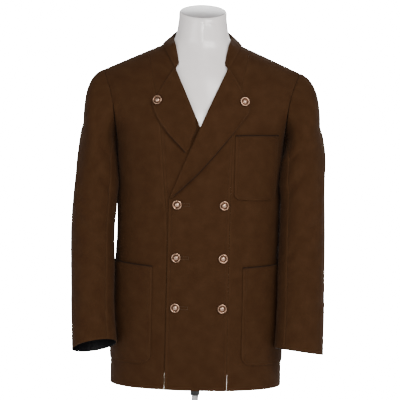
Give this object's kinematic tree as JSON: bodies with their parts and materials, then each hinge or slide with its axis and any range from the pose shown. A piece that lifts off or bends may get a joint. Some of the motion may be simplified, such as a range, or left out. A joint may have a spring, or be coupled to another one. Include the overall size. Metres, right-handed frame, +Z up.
{
  "type": "blazer on a limbless dress form",
  "caption": "Double-breasted blazer with a stand collar, buttoned-back lapels and patch pockets, worn by a limbless dress form on a small stand.",
  "frame": {"origin": "centre of the base plate's underside", "axes": "+Z up, the coat's front faces -Y, +X towards the wearer's left"},
  "size_m": [0.5775, 0.29, 1.0219],
  "materials": {
    "brown_cloth": "brushed wool cloth, matt",
    "aged_copper": "antique copper colour, worn bright on the dome",
    "white_gloss": "glossy white shell",
    "black_metal": "satin black paint",
    "pale_metal": "satin white paint"
  },
  "bodies": {
    "root": {"front_centre_left": "brown_cloth", "front_side_left": "brown_cloth", "back_left": "brown_cloth", "lapel_left": "brown_cloth", "top_sleeve_left": "brown_cloth", "under_sleeve_left": "brown_cloth", "lower_pocket_left": "brown_cloth", "front_centre_right": "brown_cloth", "front_side_right": "brown_cloth", "back_right": "brown_cloth", "lapel_right": "brown_cloth", "top_sleeve_right": "brown_cloth", "under_sleeve_right": "brown_cloth", "lower_pocket_right": "brown_cloth", "collar": "brown_cloth", "chest_pocket": "brown_cloth", "button_upper_left": "aged_copper", "button_upper_right": "aged_copper", "button_middle_left": "aged_copper", "button_middle_right": "aged_copper", "button_lower_left": "aged_copper", "button_lower_right": "aged_copper", "button_lapel_left": "aged_copper", "button_lapel_right": "aged_copper", "dress_form": "white_gloss", "pole_socket": "black_metal", "stand_pole": "pale_metal", "base_plate": "pale_metal"}
  },
  "joints": []
}
